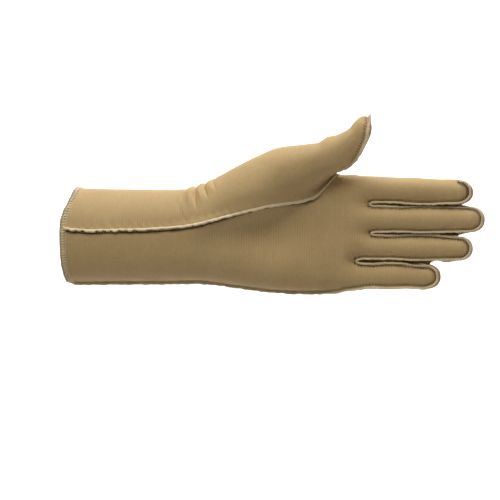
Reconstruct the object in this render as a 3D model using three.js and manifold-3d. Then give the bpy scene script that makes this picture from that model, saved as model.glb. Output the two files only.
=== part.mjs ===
// Left-hand compression glove, full finger, long cuff, in the form it has when worn.
// Fabric walls with outside seams: one main piece for palm and back, a thumb piece that runs
// from the cuff to the thumb tip, three side strips between the fingers, raised seams along
// every join and an overlocked cuff edge. The glove is hollow and open at the cuff.
//
// Frame, in millimetres: origin at the centre of the cuff's mouth, +X towards the fingertips,
// +Z towards the thumb side, the palm faces -Y.

import * as THREE from 'three';
import { LoftGeometry } from 'three/addons/geometries/LoftGeometry.js';
import { mergeVertices } from 'three/addons/utils/BufferGeometryUtils.js';
import Module from 'manifold-3d';

// ---------------------------------------------------------------- driving dimensions

const WALL = 1.2;                 // fabric thickness
const GAP = 0.4;                  // clearance between neighbouring pieces
const EDGE = { length: 3.0, proud: 0.5 };            // overlocked cuff edge
const WELT = { height: 2.3, thick: 1.3, clear: 0.3 }; // raised outside seam
const SIDES = { hand: 20, finger: 12, thumb: 12 };
const STRIP = { half: 5.0, taper: 24, end: 5 };      // side strip between fingers: half depth, taper to the tip
const TIP_SLIT = 9;               // length of the tip seam back from the tip

// Sections of cuff, wrist and palm: x, thumb-side and little-side limits in Z, palm and back limits in Y,
// and the power of the rounded outline (2 is an ellipse).
const HAND = [
  { x: -12, zTop: 30.6, zLow: -30.6, yPalm: -23.0, yBack: 23.0, power: 2.2 },
  { x: 62, zTop: 29.1, zLow: -29.9, yPalm: -21.0, yBack: 21.0, power: 2.2 },
  { x: 94, zTop: 29.2, zLow: -29.9, yPalm: -20.0, yBack: 19.6, power: 2.3 },
  { x: 112, zTop: 29.2, zLow: -32.2, yPalm: -20.0, yBack: 18.2, power: 2.4 },
  { x: 132, zTop: 30.4, zLow: -34.6, yPalm: -18.4, yBack: 16.6, power: 2.5 },
  { x: 154, zTop: 34.0, zLow: -35.8, yPalm: -15.0, yBack: 15.4, power: 2.6 },
  { x: 176, zTop: 37.6, zLow: -35.6, yPalm: -12.2, yBack: 13.2, power: 2.7 },
  { x: 196, zTop: 38.2, zLow: -35.0, yPalm: -10.4, yBack: 11.2, power: 2.8 },
];
// Short folds that fan down from the thumb side where the wrist bends: place along X and height of each crest or valley.
const FOLDS = [
  { x: 74, out: 0 }, { x: 78, out: 1.0 }, { x: 82, out: -0.6 }, { x: 86, out: 1.1 }, { x: 91, out: 0 },
];
const HAND_END = { x: 194.5, round: 13, lag: 10.5, lagFrom: 0, lagTo: -19 }; // web line, set back at the little finger

// Fingers: start inside the palm, tip, centre line in Z and Y, half widths at root and tip.
const FINGERS = [
  { name: 'index', x0: 166, xTip: 258.0, zRoot: 29.8, zTip: 27.2, yRoot: 0.5, yTip: -2.5, wRoot: 8.8, wTip: 7.7, dRoot: 10.4, dTip: 7.2, seamY: -1.0 },
  { name: 'middle', x0: 166, xTip: 265.2, zRoot: 10.1, zTip: 10.4, yRoot: 0.5, yTip: -2.5, wRoot: 8.6, wTip: 7.6, dRoot: 10.6, dTip: 7.2, seamY: -1.0 },
  { name: 'ring', x0: 164, xTip: 258.4, zRoot: -7.7, zTip: -8.8, yRoot: 0.5, yTip: -2.5, wRoot: 8.3, wTip: 7.3, dRoot: 10.2, dTip: 7.0, seamY: -1.0 },
  { name: 'little', x0: 158, xTip: 237.4, zRoot: -26.7, zTip: -27.2, yRoot: 0.2, yTip: -2.2, wRoot: 7.7, wTip: 6.7, dRoot: 9.0, dTip: 6.4, seamY: -2.4 },
];
const FINGER = { power: 2.35, rootScale: 0.72, rootLength: 20, tipLength: 11 };

// Gaps between neighbouring fingers: web position and the height that parts the two fingers.
const SLITS = [
  { name: 'index_middle', above: 0, below: 1, web: 194.3, z: 19.4 },
  { name: 'middle_ring', above: 1, below: 2, web: 194.3, z: 1.1 },
  { name: 'ring_little', above: 2, below: 3, web: 185.2, z: -17.4 },
];

// Thumb: axis points with half width in the palm's plane and half depth across it.
const THUMB = [
  { x: 88.0, y: -2.0, z: 10.6, w: 19.4, d: 15.4 },
  { x: 99.0, y: -3.8, z: 16.6, w: 18.4, d: 16.2 },
  { x: 112.9, y: -7.0, z: 24.5, w: 16.8, d: 16.4 },
  { x: 131.2, y: -11.0, z: 33.1, w: 15.8, d: 15.4 },
  { x: 147.2, y: -13.5, z: 40.0, w: 14.4, d: 13.8 },
  { x: 160.8, y: -15.0, z: 44.9, w: 12.2, d: 11.8 },
  { x: 171.6, y: -16.0, z: 49.2, w: 10.6, d: 10.6 },
  { x: 182.3, y: -17.0, z: 55.2, w: 8.2, d: 9.1 },
  { x: 190.7, y: -18.0, z: 62.1, w: 6.5, d: 7.7 },
  { x: 195.1, y: -18.5, z: 71.3, w: 5.7, d: 6.8 },
];
const THUMB_SHAPE = { power: 2.15, tipLength: 10, seamFrom: 0.67 };

// Line of the thumb piece's two long seams, the same on palm and back: X and Z from the cuff to the thumb's fork.
const THUMB_LINE = [
  { x: -20, z: 4.6 }, { x: 2, z: 4.1 }, { x: 37, z: 3.5 }, { x: 62, z: 4.1 }, { x: 87.5, z: 6.7 },
  { x: 113, z: 13.3 }, { x: 138, z: 19.3 }, { x: 157, z: 22.5 }, { x: 164, z: 25.0 },
  { x: 169.5, z: 30.6 }, { x: 175.3, z: 37.4 }, { x: 183.5, z: 42.6 },
];

// ---------------------------------------------------------------- tools for shapes

const wasm = await Module();
wasm.setup();

const vec = (x, y, z) => new THREE.Vector3(x, y, z);
const lerp = THREE.MathUtils.lerp;
const smooth = THREE.MathUtils.smoothstep;

// Smooth curve through a table, column by column.
function columns(rows, key, names) {
  const curve = new THREE.CubicInterpolant(
    rows.map((r) => r[key]), rows.flatMap((r) => names.map((n) => r[n])), names.length);
  return (t) => Object.fromEntries(names.map((n, i) => [n, curve.evaluate(t)[i]]));
}

// A closed three.js geometry as a solid that can be joined and cut.
function solid(geometry) {
  const g = new THREE.BufferGeometry().setAttribute('position', geometry.getAttribute('position'));
  if (geometry.index) g.setIndex(geometry.index);
  const merged = mergeVertices(g, 1e-4);
  const index = merged.index.array, kept = [];
  for (let i = 0; i < index.length; i += 3) {
    const [a, b, c] = [index[i], index[i + 1], index[i + 2]];
    if (a !== b && b !== c && c !== a) kept.push(a, b, c);
  }
  const made = (tri) => new wasm.Manifold(new wasm.Mesh({
    numProp: 3, vertProperties: new Float32Array(merged.attributes.position.array), triVerts: new Uint32Array(tri) }));
  const first = made(kept);
  if (first.volume() > 0) return first;
  return made(kept.map((v, i) => kept[i - (i % 3) + [0, 2, 1][i % 3]]));
}

function geometryOf(body) {
  const m = body.getMesh();
  const xyz = new Float32Array(m.numVert * 3);
  for (let i = 0; i < m.numVert; i++) xyz.set(m.vertProperties.subarray(i * m.numProp, i * m.numProp + 3), i * 3);
  const g = new THREE.BufferGeometry();
  g.setAttribute('position', new THREE.BufferAttribute(xyz, 3));
  g.setIndex(new THREE.BufferAttribute(new Uint32Array(m.triVerts), 1));
  g.computeVertexNormals();
  return g;
}

const largest = (body) => body.decompose().reduce((a, b) => (b.volume() > a.volume() ? b : a));

// Rounded outline: n points, half sizes b along p and a along q.
function ring(n, centre, p, q, b, a, power) {
  const points = [];
  for (let i = 0; i < n; i++) {
    const t = (i + 0.5) / n * 2 * Math.PI, c = Math.cos(t), s = Math.sin(t);
    const bend = (v) => Math.sign(v) * Math.abs(v) ** (2 / power);
    points.push(centre.clone().addScaledVector(p, b * bend(c)).addScaledVector(q, a * bend(s)));
  }
  return points;
}

// Stations along a length: the given ones, then closer ones round the end.
function stations(xs, to, round, roundCount) {
  const list = xs.map((x) => ({ x, k: 1 }));
  list.push({ x: to - round, k: 1 });
  for (let i = 1; i <= roundCount; i++) {
    const angle = i / roundCount * Math.PI / 2;
    list.push({ x: to - round + round * Math.sin(angle), k: Math.max(0, Math.cos(angle)) });
  }
  list[list.length - 1].k = 0;
  return list;
}

// ---------------------------------------------------------------- forms, with grow added all round

const even = (from, to, count) => Array.from({ length: count }, (_, i) => lerp(from, to, i / count));
const Y = vec(0, 1, 0), Z = vec(0, 0, 1);
const handAt = columns(HAND, 'x', ['zTop', 'zLow', 'yPalm', 'yBack', 'power']);
const foldAt = columns(FOLDS, 'x', ['out']);

function handForm(grow) {
  const end = HAND_END.x + grow;
  const xs = [...HAND.map((r) => r.x), ...FOLDS.map((r) => r.x)].sort((a, b) => a - b).filter((x) => x < HAND_END.x - HAND_END.round - 3);
  const sections = stations(xs, end, HAND_END.round, 3).map(({ x, k }) => {
    const s = handAt(x);
    const fold = x > FOLDS[0].x && x < FOLDS[FOLDS.length - 1].x ? foldAt(x).out : 0;
    const centre = vec(x, (s.yPalm + s.yBack) / 2, (s.zTop + s.zLow) / 2);
    const points = ring(SIDES.hand, centre, Y, Z,
      ((s.yBack - s.yPalm) / 2 + grow) * k, (s.zTop - s.zLow) / 2 + grow - 4 * (1 - k), s.power);
    for (const p of points) {
      p.addScaledVector(p.clone().sub(centre).normalize(), fold * smooth(p.z, 4, 22));
      // the web line lies further back towards the little finger
      p.x -= HAND_END.lag * smooth(x, 140, HAND_END.x) * (1 - smooth(p.z, HAND_END.lagTo, HAND_END.lagFrom));
    }
    return points;
  });
  return solid(new LoftGeometry(sections, { capStart: true }));
}

function fingerAt(f, x) {
  const t = THREE.MathUtils.clamp((x - f.x0) / (f.xTip - f.x0), 0, 1);
  return { z: lerp(f.zRoot, f.zTip, t), y: lerp(f.yRoot, f.yTip, t * t), w: lerp(f.wRoot, f.wTip, t), d: lerp(f.dRoot, f.dTip, t) };
}

function fingerForm(f, grow) {
  const sections = stations(even(f.x0, f.xTip - FINGER.tipLength, 4), f.xTip + grow, FINGER.tipLength, 3).map(({ x, k }) => {
    const s = fingerAt(f, x);
    const root = lerp(FINGER.rootScale, 1, smooth(x, f.x0, f.x0 + FINGER.rootLength));
    return ring(SIDES.finger, vec(x, s.y, s.z), Y, Z, (s.d + grow) * root * k, (s.w + grow) * root * k, FINGER.power);
  });
  return solid(new LoftGeometry(sections, { capStart: true }));
}

const thumbAxis = new THREE.CatmullRomCurve3(THUMB.map((r) => vec(r.x, r.y, r.z)), false, 'centripetal');
const thumbLength = thumbAxis.getLength();
const thumbSize = columns(THUMB.map((r, i) => ({ ...r, t: i / (THUMB.length - 1) })), 't', ['w', 'd']);

function thumbFrame(u) { // u is the share of the axis length
  const t = thumbAxis.getUtoTmapping(u);
  const along = thumbAxis.getTangent(t);
  const depth = Y.clone().addScaledVector(along, -Y.dot(along)).normalize();
  return { centre: thumbAxis.getPoint(t), along, depth, wide: along.clone().cross(depth), ...thumbSize(t) };
}

function thumbForm(grow) {
  const sections = stations(even(0, thumbLength - THUMB_SHAPE.tipLength, 8), thumbLength + grow, THUMB_SHAPE.tipLength, 3).map(({ x, k }) => {
    const f = thumbFrame(Math.min(1, x / thumbLength));
    const over = Math.max(0, x - thumbLength);
    return ring(SIDES.thumb, f.centre.clone().addScaledVector(f.along, over), f.depth, f.wide, (f.d + grow) * k, (f.w + grow) * k, THUMB_SHAPE.power);
  });
  return solid(new LoftGeometry(sections, { capStart: true }));
}

const form = (grow) => [...FINGERS.map((f) => fingerForm(f, grow)), thumbForm(grow)]
  .reduce((all, part) => all.add(part), handForm(grow));

// ---------------------------------------------------------------- cutters

// Flat outline in X and Z, taken right through along Y.
function throughY(points, yFrom, yTo) {
  const shape = new THREE.Shape(points.map((p) => new THREE.Vector2(p.x, p.z)));
  const g = new THREE.ExtrudeGeometry(shape, { depth: yTo - yFrom, bevelEnabled: false });
  return solid(g.rotateX(Math.PI / 2).translate(0, yTo, 0));
}

// Flat outline in X and Y, taken along Z.
function throughZ(points, zFrom, zTo) {
  const shape = new THREE.Shape(points.map((p) => new THREE.Vector2(p.x, p.y)));
  return solid(new THREE.ExtrudeGeometry(shape, { depth: zTo - zFrom, bevelEnabled: false }).translate(0, 0, zFrom));
}

const thumbLine = new THREE.SplineCurve(THUMB_LINE.map((p) => new THREE.Vector2(p.x, p.z))).getSpacedPoints(22)
  .map((p) => ({ x: p.x, z: p.y }));
const last = thumbLine[thumbLine.length - 1];

const thumbSide = throughY([...thumbLine, { x: 230, z: last.z }, { x: 230, z: 130 }, { x: thumbLine[0].x, z: 130 }], -80, 80);
const thumbCut = (() => {
  const side = (sign) => thumbLine.map((p, i) => {
    const a = thumbLine[Math.max(0, i - 1)], b = thumbLine[Math.min(thumbLine.length - 1, i + 1)];
    const l = Math.hypot(b.x - a.x, b.z - a.z);
    return { x: p.x - sign * GAP / 2 * (b.z - a.z) / l, z: p.z + sign * GAP / 2 * (b.x - a.x) / l };
  });
  return throughY([...side(1), ...side(-1).reverse()], -80, 80);
})();

// Half depth of the side strip at x: full from the web, tapering to a point near the fingertip.
const stripHalf = (f, x) => lerp(0.35, STRIP.half, 1 - smooth(x, f.xTip - STRIP.taper, f.xTip - STRIP.end));

function stripZone(slit, grow) {
  const half = (f, zFrom, zTo) => {
    const xs = Array.from({ length: 5 }, (_, i) => f.xTip - STRIP.taper + (STRIP.taper - STRIP.end) * i / 4);
    const edge = (sign) => [slit.web - 7, ...xs].map((x) => ({ x, y: f.seamY + 1 + sign * (stripHalf(f, x) + grow) }));
    return throughZ([...edge(-1), ...edge(1).reverse()], zFrom, zTo);
  };
  const up = FINGERS[slit.above], low = FINGERS[slit.below];
  return half(up, slit.z, up.zTip - 0.6).add(half(low, low.zTip + 0.6, slit.z + 0.02));
}

const flat = (points, y) => throughY(points, y - GAP / 2, y + GAP / 2);

// Tip seams and the little-finger-side seam: narrow cuts at the seam's own depth.
const tipCuts = FINGERS.map((f, i) => flat([
  { x: f.xTip - TIP_SLIT, z: f.zTip + (i === 3 ? 20 : 0) }, { x: f.xTip + 6, z: f.zTip + (i === 3 ? 20 : 0) },
  { x: f.xTip + 6, z: f.zTip - 9.4 }, { x: f.xTip - TIP_SLIT + 3, z: f.zTip - 9.4 }], f.seamY)
  .add(flat([{ x: f.xTip - TIP_SLIT, z: f.zTip + 9.4 }, { x: f.xTip + 6, z: f.zTip + 9.4 },
    { x: f.xTip + 6, z: f.zTip - 0.1 }, { x: f.xTip - TIP_SLIT, z: f.zTip - 0.1 }], f.seamY)));
const little = FINGERS[3];
const sideCut = flat([
  { x: -20, z: -8 }, { x: 165, z: -20 }, { x: 185, z: little.zTip }, { x: little.xTip + 6, z: little.zTip },
  { x: little.xTip + 6, z: -60 }, { x: -20, z: -60 }], little.seamY);

// ---------------------------------------------------------------- walls

const mouthFrom = EDGE.length + GAP;
const across = (from, to) => throughZ([{ x: from, y: -60 }, { x: to, y: -60 }, { x: to, y: 60 }, { x: from, y: 60 }], -60, 60);
const outer = form(0);
const shell = outer.subtract(form(-WALL)).subtract(across(-30, mouthFrom));

const thumbSlit = (() => { // cut along the thumb's inner side and over its tip, in its mid depth
  const run = (uFrom, uTo, wFrom, wTo) => {
    const sections = [];
    for (let i = 0; i <= 6; i++) {
      const f = thumbFrame(lerp(uFrom, Math.min(1, uTo), i / 6));
      const centre = f.centre.clone().addScaledVector(f.along, i === 6 ? 6 : 0);
      sections.push([[-1, wFrom], [1, wFrom], [1, wTo], [-1, wTo]].map(([d, w]) => centre.clone()
        .addScaledVector(f.depth, d * GAP / 2).addScaledVector(f.wide, w)));
    }
    return solid(new LoftGeometry(sections, { capStart: true, capEnd: true }));
  };
  return run(THUMB_SHAPE.seamFrom - 0.04, 1, -24, 0.05).add(run(1 - TIP_SLIT / thumbLength, 1, -0.05, 20));
})();

const thumbPanel = largest(shell.intersect(thumbSide).subtract(thumbCut).subtract(thumbSlit));
const handShell = shell.subtract(thumbSide).subtract(thumbCut);
const strips = SLITS.map((s) => largest(handShell.intersect(stripZone(s, -GAP / 2))));
const handPanel = largest([...SLITS.map((s) => stripZone(s, GAP / 2)), ...tipCuts, sideCut]
  .reduce((rest, cut) => rest.subtract(cut), handShell));

const cuffEdge = handForm(EDGE.proud).intersect(across(0, EDGE.length)).subtract(handForm(-WALL - EDGE.proud));

// ---------------------------------------------------------------- raised seams

const skin = new THREE.Mesh(geometryOf(outer), new THREE.MeshBasicMaterial({ side: THREE.DoubleSide }));
const caster = new THREE.Raycaster();

// Where a line from inside the hand first meets the fabric's outside.
function onSkin(origin, direction) {
  caster.set(origin, direction.clone().normalize());
  const hit = caster.intersectObject(skin)[0];
  if (!hit) return null;
  const normal = hit.face.normal.clone();
  return { point: hit.point.clone(), normal: normal.dot(direction) < 0 ? normal.negate() : normal };
}

// Drops path points that lie within a small distance of the line between their neighbours.
function thin(path, tolerance) {
  if (path.length < 3) return path;
  const [a, b] = [path[0].point, path[path.length - 1].point];
  const line = new THREE.Line3(a, b), near = vec(0, 0, 0);
  let worst = 0, at = 0;
  path.forEach((p, i) => {
    line.closestPointToPoint(p.point, true, near);
    const d = near.distanceTo(p.point) + (p.point.distanceTo(a) > 16 && p.point.distanceTo(b) > 16 ? tolerance : 0);
    if (d > worst) { worst = d; at = i; }
  });
  if (worst <= tolerance) return [path[0], path[path.length - 1]];
  return [...thin(path.slice(0, at + 1), tolerance).slice(0, -1), ...thin(path.slice(at), tolerance)];
}

const clearSkin = form(WELT.clear);

// Strip that stands on the fabric along a path of skin points.
function welt(found, height = WELT.height) {
  const path = found.filter((p) => p).filter((p, i, all) => i === 0 || p.point.distanceTo(all[i - 1].point) > 0.25);
  const soft = path.map((p, i) => {
    const normal = vec(0, 0, 0);
    for (let k = -2; k <= 2; k++) normal.add(path[THREE.MathUtils.clamp(i + k, 0, path.length - 1)].normal);
    return { point: p.point, normal: normal.normalize() };
  });
  const kept = thin(soft, 0.45);
  const sections = kept.map((p, i) => {
    const along = kept[Math.min(kept.length - 1, i + 1)].point.clone().sub(kept[Math.max(0, i - 1)].point).normalize();
    const across = p.normal.clone().cross(along).normalize();
    const up = along.clone().cross(across).normalize();
    return [[-1, -1.2], [1, -1.2], [1, height], [-1, height]].map(([a, h]) => p.point.clone()
      .addScaledVector(across, a * WELT.thick / 2).addScaledVector(up, h));
  });
  return largest(solid(new LoftGeometry(sections, { capStart: true, capEnd: true })).subtract(clearSkin));
}

const range = (from, to, step) => Array.from({ length: Math.max(2, Math.ceil(Math.abs(to - from) / step) + 1) },
  (_, i, n = Math.max(1, Math.ceil(Math.abs(to - from) / step))) => lerp(from, to, i / n));

const alongThumbLine = (sign) => thumbLine.filter((p) => p.x > mouthFrom + 0.5 && p.x < 172.5)
  .map((p) => onSkin(vec(p.x, 0, p.z), vec(0, sign, 0)));

// One side of a finger, from near the tip to the web, at the strip's palm edge (-1) or back edge (1).
const fingerSide = (f, slit, toward, face, xFrom) => range(xFrom, slit.web + 1.2, 2).map((x) => {
  const c = fingerAt(f, x);
  return onSkin(vec(x, f.seamY + 1 + face * stripHalf(f, x) + (stripHalf(f, x) < 1 ? -1 : 0) * (face < 0 ? 1 : 0), c.z), vec(0, 0, toward));
});
const webPath = (slit, face) => [1.3, 0, -1.3].map((dz) =>
  onSkin(vec(slit.web - 14, FINGERS[slit.above].seamY + 1 + face * STRIP.half, slit.z + dz), vec(1, 0, 0)));
const tipPath = (f, from, to) => range(from, to, 0.35).map((angle) =>
  onSkin(vec(f.xTip - 9, f.seamY, f.zTip), vec(Math.cos(angle), 0, Math.sin(angle))));

const TIP_TURN = 1.35; // angle from straight ahead to the side of the fingertip
const palmPath = FINGERS.flatMap((f, i) => {
  const before = SLITS[i - 1], after = SLITS[i];
  const start = before ? fingerSide(f, before, 1, -1, f.xTip - 8).reverse() : [];
  const tip = tipPath(f, TIP_TURN, -TIP_TURN);
  const end = after ? [...fingerSide(f, after, -1, -1, f.xTip - 8), ...webPath(after, -1)]
    : range(f.xTip - 10, mouthFrom + 1, 3).map((x) => onSkin(vec(x, f.seamY, x > 170 ? fingerAt(f, x).z : -10), vec(0, 0, -1)));
  return [...start, ...tip, ...end];
});
const backPath = (slit) => {
  const up = FINGERS[slit.above], low = FINGERS[slit.below];
  return [...fingerSide(up, slit, -1, 1, up.xTip - 13), ...webPath(slit, 1), ...fingerSide(low, slit, 1, 1, low.xTip - 13).reverse()];
};
const thumbSeam = (() => {
  const side = range(THUMB_SHAPE.seamFrom, 1 - 8 / thumbLength, 0.02).map((u) => {
    const f = thumbFrame(u);
    return onSkin(f.centre, f.wide.clone().negate());
  });
  const f = thumbFrame(1 - 8 / thumbLength);
  const tip = range(-Math.PI / 2 + 0.15, TIP_TURN, 0.2).map((a) =>
    onSkin(f.centre, f.along.clone().multiplyScalar(Math.cos(a)).addScaledVector(f.wide, Math.sin(a))));
  return [...side, ...tip];
})();

// ---------------------------------------------------------------- the glove

const fabric = () => new THREE.MeshStandardMaterial({ color: 0xb59a6a, roughness: 0.85, metalness: 0 });
const thread = () => new THREE.MeshStandardMaterial({ color: 0xc4ab7e, roughness: 0.9, metalness: 0 });

const glove = new THREE.Group();
glove.name = 'compression_glove';
function put(name, body, material) {
  const mesh = new THREE.Mesh(geometryOf(body), material);
  mesh.name = name;
  glove.add(mesh);
}

put('hand_panel', handPanel, fabric());
put('thumb_panel', thumbPanel, fabric());
SLITS.forEach((s, i) => put('fourchette_' + s.name, strips[i], fabric()));
put('cuff_edge', cuffEdge, thread());
put('seam_thumb_palm', welt(alongThumbLine(-1)), thread());
put('seam_thumb_back', welt(alongThumbLine(1)), thread());
put('seam_thumb_side', welt(thumbSeam), thread());
put('seam_fingers_palm', welt(palmPath), thread());
SLITS.forEach((s) => put('seam_back_' + s.name, welt(backPath(s)), thread()));

export default glove;
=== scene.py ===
import math

import bpy
import numpy as np
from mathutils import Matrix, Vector
from mathutils.kdtree import KDTree


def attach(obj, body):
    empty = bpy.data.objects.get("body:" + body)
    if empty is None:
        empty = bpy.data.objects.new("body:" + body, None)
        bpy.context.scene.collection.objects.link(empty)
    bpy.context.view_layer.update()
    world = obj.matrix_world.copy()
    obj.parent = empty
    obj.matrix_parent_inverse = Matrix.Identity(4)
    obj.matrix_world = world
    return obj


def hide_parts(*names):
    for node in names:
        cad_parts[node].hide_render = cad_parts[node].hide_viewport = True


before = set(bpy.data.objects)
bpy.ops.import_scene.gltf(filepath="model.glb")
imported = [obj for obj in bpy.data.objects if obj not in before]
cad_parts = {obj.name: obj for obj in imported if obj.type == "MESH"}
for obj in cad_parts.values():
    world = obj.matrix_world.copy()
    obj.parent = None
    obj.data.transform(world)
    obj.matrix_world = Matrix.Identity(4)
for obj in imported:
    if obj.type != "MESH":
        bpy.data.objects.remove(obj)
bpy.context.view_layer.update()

# A left-hand compression glove as worn: stretch-knit panels, outside overlocked seams, overlocked cuff edge.
# Lengths below are in millimetres, in the row's frame: +X to the fingertips, +Z to the thumb side, palm to -Y.

GRID = 1.3         # spacing of the surface's points, halved near seams and folds
WALL = 1.1         # fabric thickness
RNG = np.random.default_rng(7)

# ------------------------------------------------------------------ tables (as in the CAD)

HAND = np.array([
    # x, zTop, zLow, yPalm, yBack, power
    (-12, 30.6, -30.6, -23.0, 23.0, 2.2),
    (62, 29.1, -29.9, -21.0, 21.0, 2.2),
    (94, 29.2, -29.9, -20.0, 19.6, 2.3),
    (112, 29.2, -32.2, -20.0, 18.2, 2.4),
    (132, 30.4, -34.6, -18.4, 16.6, 2.5),
    (154, 34.0, -35.8, -15.0, 15.4, 2.6),
    (176, 37.6, -35.6, -12.2, 13.2, 2.7),
    (196, 38.2, -35.0, -10.4, 11.2, 2.8)])
END = dict(x=196.9, round=13.0, lag=8.6, lag_from=0.0, lag_to=-17.5)
FINGERS = [
    dict(name="index", x0=166, xt=260.2, zr=29.8, zt=26.1, yr=0.5, yt=-2.5, wr=8.8, wt=7.6, dr=10.4, dt=7.2, sy=-1.0, tip=10.0),
    dict(name="middle", x0=166, xt=267.4, zr=10.0, zt=9.3, yr=0.5, yt=-2.5, wr=8.5, wt=7.9, dr=10.6, dt=7.2, sy=-1.0, tip=9.2),
    dict(name="ring", x0=164, xt=260.0, zr=-7.2, zt=-8.7, yr=0.5, yt=-2.5, wr=7.7, wt=7.5, dr=10.2, dt=7.0, sy=-1.0, tip=8.4),
    dict(name="little", x0=158, xt=240.2, zr=-25.7, zt=-26.1, yr=0.2, yt=-2.2, wr=8.8, wt=7.6, dr=9.0, dt=6.4, sy=-1.8, half=4.2, tip=8.6)]
FINGER = dict(power=2.35, root=0.72, root_len=27.0, tip_power=2.2, inset=4.4)
SLITS = [
    dict(name="index_middle", a=0, b=1, web=196.7, z=19.2),
    dict(name="middle_ring", a=1, b=2, web=196.7, z=0.9),
    dict(name="ring_little", a=2, b=3, web=189.1, z=-16.1)]
STRIP = dict(half=5.0, taper=28.0, end=4.0)
THUMB = np.array([
    # x, y, z, half width, half depth
    (88.0, -2.0, 10.6, 19.4, 15.4),
    (99.0, -3.8, 16.6, 18.4, 16.2),
    (112.9, -7.0, 24.5, 16.8, 16.4),
    (131.2, -11.0, 33.1, 15.8, 15.4),
    (147.2, -13.5, 40.0, 14.4, 13.8),
    (160.8, -15.0, 44.9, 12.2, 11.8),
    (171.6, -16.0, 49.2, 10.6, 10.6),
    (182.3, -17.0, 55.2, 8.2, 9.1),
    (190.7, -18.0, 62.1, 6.5, 7.7),
    (196.0, -18.6, 73.2, 5.6, 6.7)])
# what the joints and the stretched cloth add to the thumb's outline: x, upper side, under side
THUMB_BUMPS = np.array([(100, 0, 0), (112, 0.6, 0), (124, 1.2, 0), (138, 1.8, 0), (147, 0.9, 0), (155, 0.1, 0), (161, -0.5, 0), (165.5, -1.0, 0),
                        (171.5, 0.9, 0), (177, 0.2, 0.9), (184, 0.2, 2.1), (191, 0.2, 2.2), (197, 0.0, 0.9), (204, 0.0, 0.0)])
THUMB_SHAPE = dict(power=2.15, tip=10.0, seam_from=0.62)
THUMB_LINE = np.array([(-20, 8.5), (0, 6.2), (5, 4.4), (12, 3.5), (37, 3.4), (62, 4.1), (87.5, 6.7), (113, 13.3), (138, 19.3),
                       (157, 22.5), (164, 25.0), (169.5, 30.6), (175.3, 37.2), (178.6, 39.1), (185, 40.0)])

# ------------------------------------------------------------------ small helpers


def ss(x, lo, hi):
    t = np.clip((x - lo) / (hi - lo), 0, 1)
    return t * t * (3 - 2 * t)


def lerp(a, b, t):
    return a + (b - a) * t


def curve(xs, ys, x):
    """Smooth curve through a table (cubic Hermite with slopes from the neighbours)."""
    xs, ys = np.asarray(xs, float), np.asarray(ys, float)
    m = np.gradient(ys, xs, axis=0)
    x = np.clip(x, xs[0], xs[-1])
    i = np.clip(np.searchsorted(xs, x) - 1, 0, len(xs) - 2)
    h = xs[i + 1] - xs[i]
    t = (x - xs[i]) / h
    if ys.ndim > 1:
        h, t = h[:, None], t[:, None]
    return ((2 * t**3 - 3 * t**2 + 1) * ys[i] + (t**3 - 2 * t**2 + t) * h * m[i]
            + (-2 * t**3 + 3 * t**2) * ys[i + 1] + (t**3 - t**2) * h * m[i + 1])


def unit(v):
    return v / np.maximum(np.linalg.norm(v, axis=-1, keepdims=True), 1e-12)


def resample(p, step):
    d = np.concatenate([[0], np.cumsum(np.linalg.norm(np.diff(p, axis=0), axis=1))])
    s = np.linspace(0, d[-1], max(2, int(round(d[-1] / step)) + 1))
    return np.stack([np.interp(s, d, p[:, k]) for k in range(p.shape[1])], 1)


def blur(p, n):
    """Smooths a path, ends kept."""
    for _ in range(n):
        q = p.copy()
        q[1:-1] = 0.25 * p[:-2] + 0.5 * p[1:-1] + 0.25 * p[2:]
        p = q
    return p


def wander(s, wave, seed):
    """Slow random variation along a length, about -1 to 1."""
    r = np.random.default_rng(seed)
    out = np.zeros_like(s)
    for k in range(4):
        out += np.sin(s * 2 * np.pi / (wave * (0.6 + 0.45 * k)) + r.uniform(0, 6.3)) * (1, 0.8, 0.6, 0.5)[k]
    return out / 2.0


_lattice = np.random.default_rng(11).uniform(-1, 1, (32, 32, 32))


def noise3(p):
    """Smooth value noise, one cell to a unit."""
    i = np.floor(p).astype(int)
    f = p - i
    f = f * f * (3 - 2 * f)
    out = 0
    for dx in (0, 1):
        for dy in (0, 1):
            for dz in (0, 1):
                w = ((f[:, 0] if dx else 1 - f[:, 0]) * (f[:, 1] if dy else 1 - f[:, 1]) * (f[:, 2] if dz else 1 - f[:, 2]))
                out = out + w * _lattice[(i[:, 0] + dx) % 32, (i[:, 1] + dy) % 32, (i[:, 2] + dz) % 32]
    return out


# ------------------------------------------------------------------ the worn form as a distance field

_axis = resample(curve(np.arange(len(THUMB)), THUMB, np.linspace(0, len(THUMB) - 1, 400)), 0.8)
_axis_s = np.concatenate([[0], np.cumsum(np.linalg.norm(np.diff(_axis[:, :3], axis=0), axis=1))])
_axis_t = unit(np.gradient(_axis[:, :3], axis=0))
_axis_d = unit(np.array([0, 1.0, 0]) - _axis_t * _axis_t[:, 1:2])
_axis_w = np.cross(_axis_t, _axis_d)
THUMB_LENGTH = _axis_s[-1]


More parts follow.
